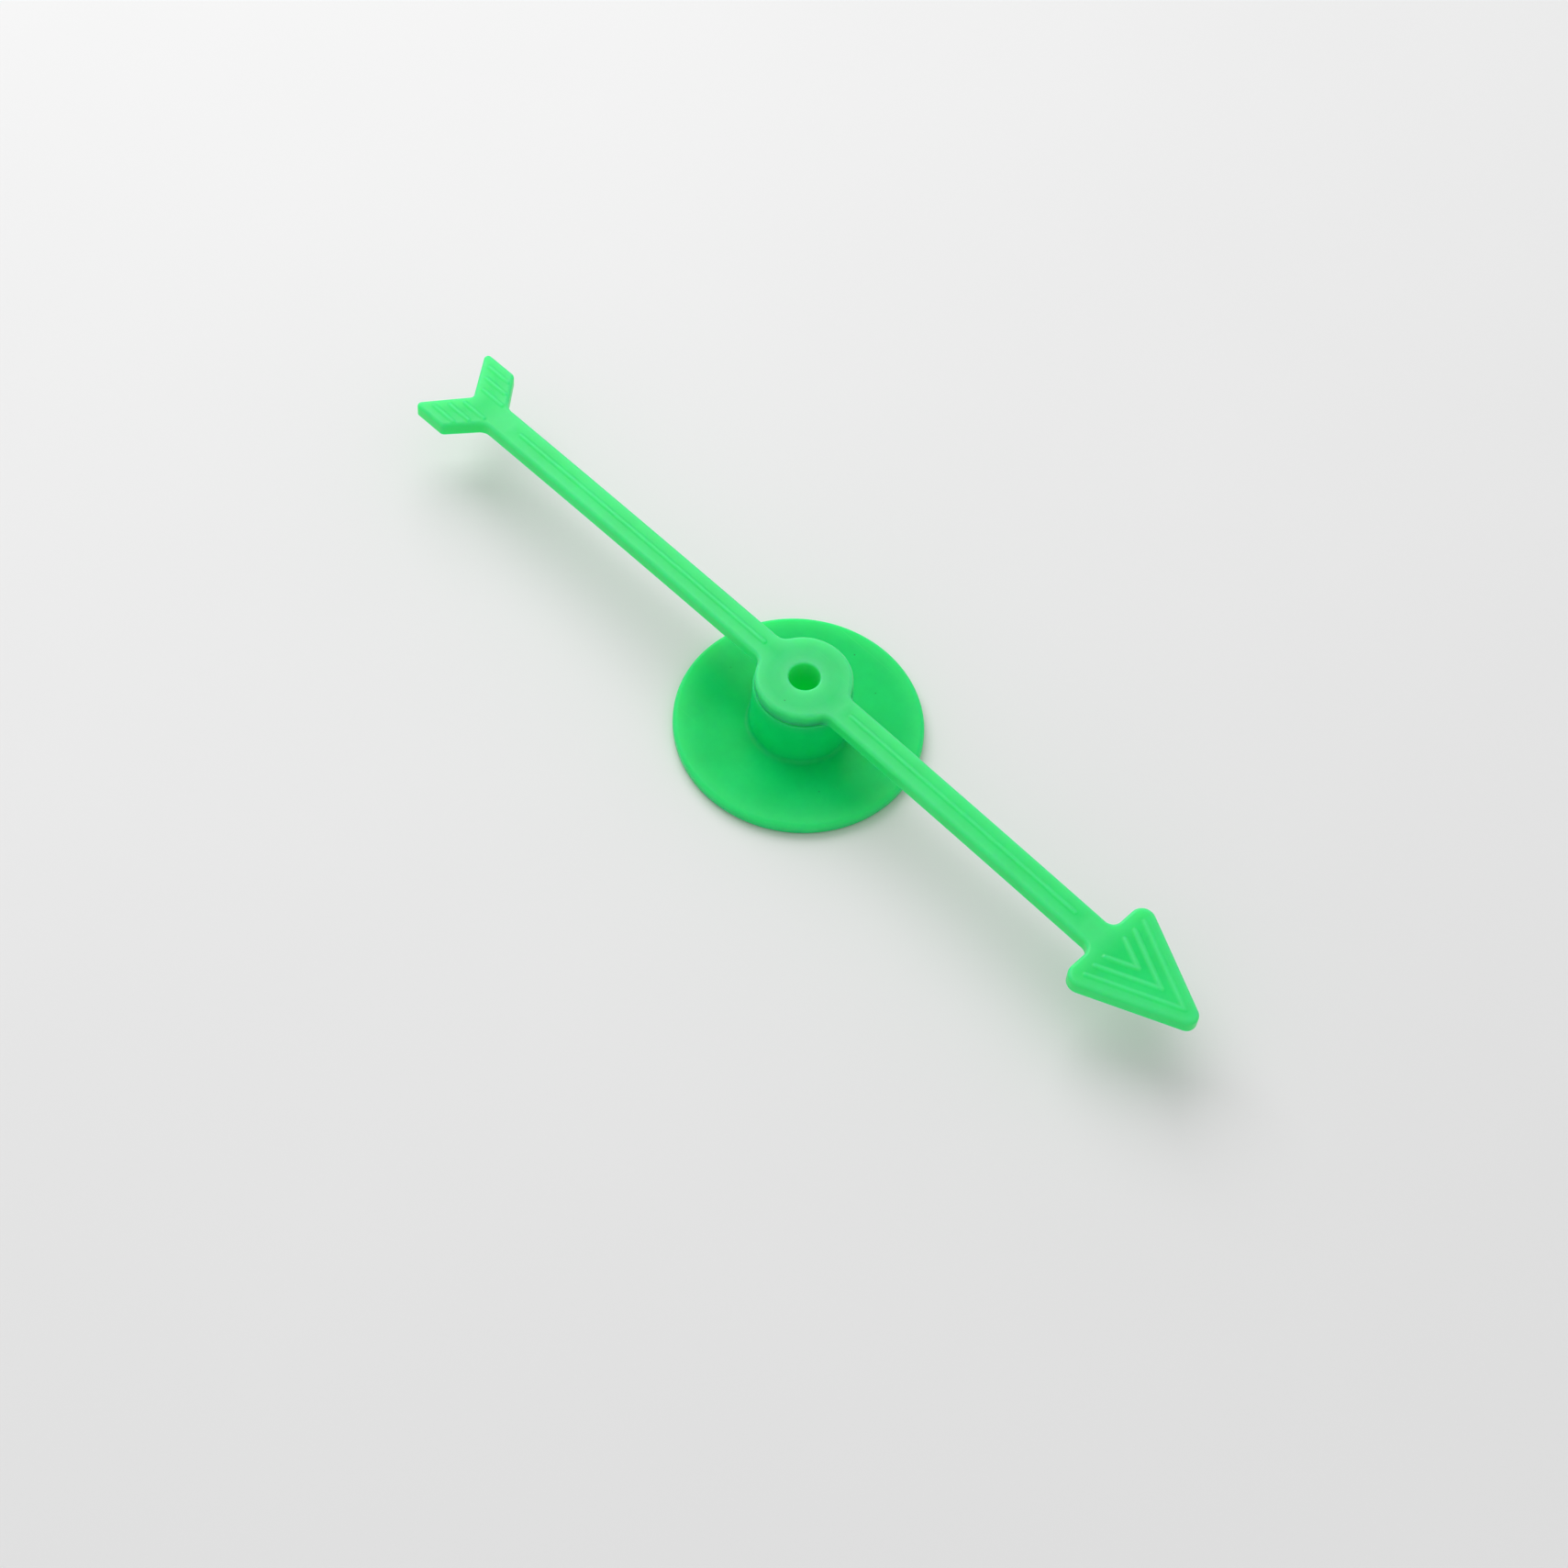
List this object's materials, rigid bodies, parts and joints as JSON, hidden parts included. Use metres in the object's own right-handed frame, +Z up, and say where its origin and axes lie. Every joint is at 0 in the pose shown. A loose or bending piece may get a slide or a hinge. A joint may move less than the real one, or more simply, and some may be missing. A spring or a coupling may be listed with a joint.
{
  "type": "game spinner",
  "caption": "Arrow pointer that spins freely on the hub of a small round disc base, for board games.",
  "frame": {"origin": "on the spin axis, in the plane of the disc's underside", "axes": "+Z up along the spin axis, +X along the arrow towards its head at rest, +Y to the left of the arrow"},
  "size_m": [0.1022, 0.025, 0.0093],
  "materials": {
    "base_plastic": "satin translucent green",
    "arrow_plastic": "satin translucent green"
  },
  "bodies": {
    "base_body": {"base": "base_plastic"},
    "arrow_body": {"arrow": "arrow_plastic"}
  },
  "joints": [
    {"name": "arrow_spin", "type": "hinge", "parent": "base_body", "child": "arrow_body", "pos_m": [0, 0, 0.0072], "axis": [0, 0, 1], "continuous": true}
  ]
}
